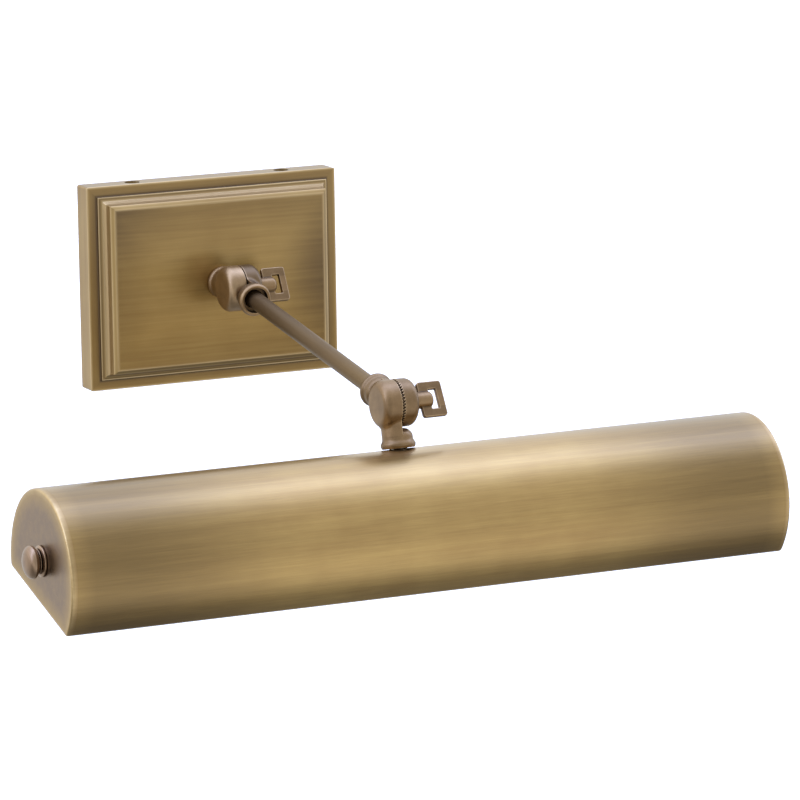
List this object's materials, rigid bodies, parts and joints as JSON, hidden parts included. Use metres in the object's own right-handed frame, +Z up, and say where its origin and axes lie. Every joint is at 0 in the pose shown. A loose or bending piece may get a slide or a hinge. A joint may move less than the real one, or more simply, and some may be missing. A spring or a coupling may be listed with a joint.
{
  "type": "picture light",
  "caption": "Wall-mounted picture light: stepped rectangular back plate, swivelling arm with thumbscrew joints, and a long half-round brass shade over tubular bulbs.",
  "frame": {"origin": "centre of the mounting strap's back face, on the wall behind the plate's centre", "axes": "+X along the shade to the right as seen from the room, +Y into the wall, +Z up"},
  "size_m": [0.4228, 0.3067, 0.182],
  "materials": {
    "antique_brass": "antique brass, brushed along the length, with darker patina in the grooves",
    "swivel_brass": "cast antique brass, pinkish brown, satin",
    "dark_bronze": "dark bronze, satin",
    "zinc_steel": "zinc plated sheet steel",
    "nickel": "nickel plated brass",
    "phenolic": "moulded black phenolic",
    "frosted_glass": "frosted white glass",
    "wire_brown": "brown wire insulation",
    "earth_green": "green"
  },
  "bodies": {
    "wall_mount": {"wall_plate": "antique_brass", "mounting_strap": "zinc_steel", "keeper_screw_left": "zinc_steel", "keeper_screw_right": "zinc_steel", "ground_screw": "earth_green", "plate_nipple": "nickel", "plate_washer": "zinc_steel", "plate_nut": "nickel", "plate_knuckle": "swivel_brass", "plate_lead": "wire_brown", "ground_lead": "earth_green"},
    "arm": {"arm_knuckle_rear": "swivel_brass", "arm_tube": "antique_brass", "arm_knuckle_front": "swivel_brass", "arm_lead": "wire_brown"},
    "arm_screw": {"arm_thumbscrew": "swivel_brass"},
    "shade": {"shade_knuckle": "swivel_brass", "shade_nipple": "nickel", "shade_washer": "zinc_steel", "shade_nut": "nickel", "shade_shell": "antique_brass", "end_cap_left": "antique_brass", "end_cap_right": "antique_brass", "socket_bracket": "zinc_steel", "socket_left": "phenolic", "socket_right": "phenolic", "bulb_cap_left": "nickel", "bulb_cap_right": "nickel", "bulb_glass_left": "frosted_glass", "bulb_glass_right": "frosted_glass", "switch_body": "phenolic", "switch_ring_nut": "dark_bronze", "switch_lead": "wire_brown", "socket_lead_left": "wire_brown", "socket_lead_right": "wire_brown"},
    "shade_screw": {"shade_thumbscrew": "swivel_brass"},
    "knob": {"switch_knob": "dark_bronze"}
  },
  "joints": [
    {"name": "arm_tilt", "type": "hinge", "parent": "wall_mount", "child": "arm", "pos_m": [0, -0.0491, 0], "axis": [1, 0, 0], "range_deg": [-74, 51]},
    {"name": "arm_thumbscrew_turn", "type": "hinge", "parent": "wall_mount", "child": "arm_screw", "pos_m": [0, -0.0491, 0], "axis": [1, 0, 0], "range_deg": [0, 360]},
    {"name": "shade_tilt", "type": "hinge", "parent": "arm", "child": "shade", "pos_m": [0, -0.2498, -0.03179], "axis": [1, 0, 0], "range_deg": [-80, 50]},
    {"name": "shade_thumbscrew_turn", "type": "hinge", "parent": "shade", "child": "shade_screw", "pos_m": [0, -0.2498, -0.03179], "axis": [1, 0, 0], "range_deg": [0, 360]},
    {"name": "switch_knob_turn", "type": "hinge", "parent": "shade", "child": "knob", "pos_m": [-0.212, -0.26569, -0.09117], "axis": [1, 0, 0], "continuous": true}
  ]
}
